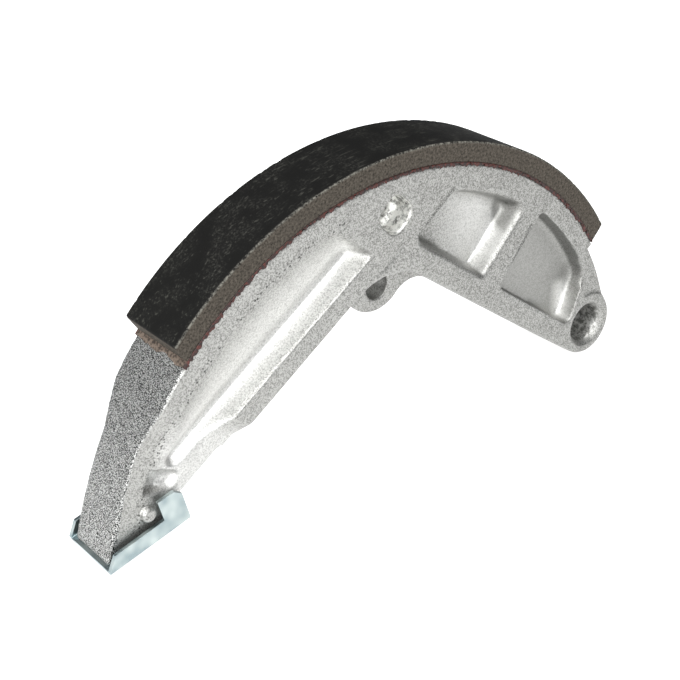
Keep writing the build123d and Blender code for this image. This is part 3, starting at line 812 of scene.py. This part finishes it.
class BRAKE_OT_adhesive(bpy.types.Operator):
    """Lays the ragged line of adhesive under the lining"""

    bl_idname = "brake.adhesive"
    bl_label = "Adhesive"

    def execute(self, context):
        settings = context.scene.brake_adhesive
        piece = link_piece("adhesive_line", bpy.data.meshes.new("adhesive_line"))
        run_tree(
            piece, squeezed_adhesive(cured_resin(settings)),
            inner_radius=LINING_RADIUS - LINING_THICKNESS - settings.bead * BEAD_BELOW_LINING,
            pivot_end=LINING_PIVOT_END, cam_end=LINING_CAM_END + settings.overrun,
            width=SHOE_WIDTH + 2 * settings.proud, height=settings.bead, edge=ADHESIVE_EDGE,
            chip=settings.ragged, chip_size=ADHESIVE_CHIP_SIZE, wander=settings.wander)
        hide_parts("bond_film")
        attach(piece, "root")
        return {"FINISHED"}


class BRAKE_OT_clip(bpy.types.Operator):
    """Rounds the sheared edges of the plated clip"""

    bl_idname = "brake.clip"
    bl_label = "Clip"

    def execute(self, context):
        settings = context.scene.brake_clip
        piece = copy_of_node("cam_clip", "clip_sheet")
        shape = bmesh.new()
        shape.from_mesh(piece.data)
        bmesh.ops.dissolve_limit(
            shape, angle_limit=FLAT_ANGLE, verts=shape.verts, edges=shape.edges)
        shape.to_mesh(piece.data)
        shape.free()
        bevel = piece.modifiers.new("Sheared edges", "BEVEL")
        bevel.width = settings.edge
        bevel.segments = 3
        bevel.limit_method = "ANGLE"
        bevel.angle_limit = SHARP_ANGLE
        bevel.harden_normals = True
        bake_modifiers(piece)
        piece.data.materials.clear()
        piece.data.materials.append(zinc_plate(settings))
        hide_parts("cam_clip")
        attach(piece, "root")
        return {"FINISHED"}


def area_light(name, place, target, size, power):
    """A soft square light that looks at a point."""
    lamp = bpy.data.lights.new(name, "AREA")
    lamp.shape = "SQUARE"
    lamp.size = size
    lamp.energy = power
    holder = bpy.data.objects.new(name, lamp)
    holder.location = place
    holder.rotation_euler = (Vector(target) - Vector(place)).to_track_quat("-Z", "Y").to_euler()
    bpy.context.collection.objects.link(holder)


class BRAKE_OT_studio(bpy.types.Operator):
    """Sets the floor, the lights and the camera"""

    bl_idname = "brake.studio"
    bl_label = "Studio"

    def execute(self, context):
        settings = context.scene.brake_studio
        shape = bmesh.new()
        bmesh.ops.create_grid(shape, x_segments=8, y_segments=8, size=1.5)
        mesh = bpy.data.meshes.new("studio_floor")
        shape.to_mesh(mesh)
        shape.free()
        mesh.materials.append(studio_paper(settings))
        link_piece("studio_floor", mesh)

        world = bpy.data.worlds.new("studio_air")
        world.use_nodes = True
        air = world.node_tree.nodes["Background"]
        air.inputs["Color"].default_value = srgb("#f2f5f8")
        air.inputs["Strength"].default_value = settings.world
        context.scene.world = world
        area_light(
            "overhead_light", place=(-0.1, 0.1, 1.2), target=(-0.1, 0.1, 0), size=2.0,
            power=settings.overhead)
        lamp = bpy.data.lights.new("key_light", "SUN")
        lamp.energy = settings.key
        lamp.angle = KEY_ANGLE
        key = bpy.data.objects.new("key_light", lamp)
        key.rotation_euler = KEY_DIRECTION.to_track_quat("Z", "Y").to_euler()
        bpy.context.collection.objects.link(key)
        area_light(
            "side_light", place=(-0.55, -0.39, 0.18), target=(0, 0, 0.03), size=0.4,
            power=settings.fill)

        camera = bpy.data.cameras.new("camera")
        camera.sensor_width = 36.0
        camera.lens = settings.lens
        camera.clip_start = 0.01
        camera.clip_end = 10.0
        holder = bpy.data.objects.new("camera", camera)
        context.collection.objects.link(holder)
        back = CAMERA_RIGHT.cross(CAMERA_UP)
        turned = Matrix((CAMERA_RIGHT, CAMERA_UP, back)).transposed().to_4x4()
        holder.matrix_world = Matrix.Translation(CAMERA_PLACE) @ turned
        context.scene.camera = holder
        context.scene.view_settings.view_transform = "Standard"
        return {"FINISHED"}


class BRAKE_PT_panel(bpy.types.Panel):
    """Lists the pieces of the shoe."""

    bl_idname = "BRAKE_PT_panel"
    bl_label = "Brake Shoe"
    bl_space_type = "VIEW_3D"
    bl_region_type = "UI"
    bl_category = "Brake Shoe"

    def draw(self, context):
        for operator in OPERATORS:
            self.layout.operator(operator.bl_idname)


OPERATORS = (BRAKE_OT_studio, BRAKE_OT_casting, BRAKE_OT_lining, BRAKE_OT_adhesive, BRAKE_OT_clip)
SETTINGS = {
    "brake_casting": CastingSettings,
    "brake_lining": LiningSettings,
    "brake_adhesive": AdhesiveSettings,
    "brake_clip": ClipSettings,
    "brake_studio": StudioSettings,
}


def register():
    for name, group in SETTINGS.items():
        bpy.utils.register_class(group)
        setattr(bpy.types.Scene, name, PointerProperty(type=group))
    for kind in (*OPERATORS, BRAKE_PT_panel):
        bpy.utils.register_class(kind)


def unregister():
    for kind in (BRAKE_PT_panel, *reversed(OPERATORS)):
        bpy.utils.unregister_class(kind)
    for name, group in SETTINGS.items():
        delattr(bpy.types.Scene, name)
        bpy.utils.unregister_class(group)


def main():
    register()
    bpy.ops.brake.studio()
    bpy.ops.brake.casting()
    bpy.ops.brake.lining()
    bpy.ops.brake.adhesive()
    bpy.ops.brake.clip()


if __name__ == "__main__":
    main()
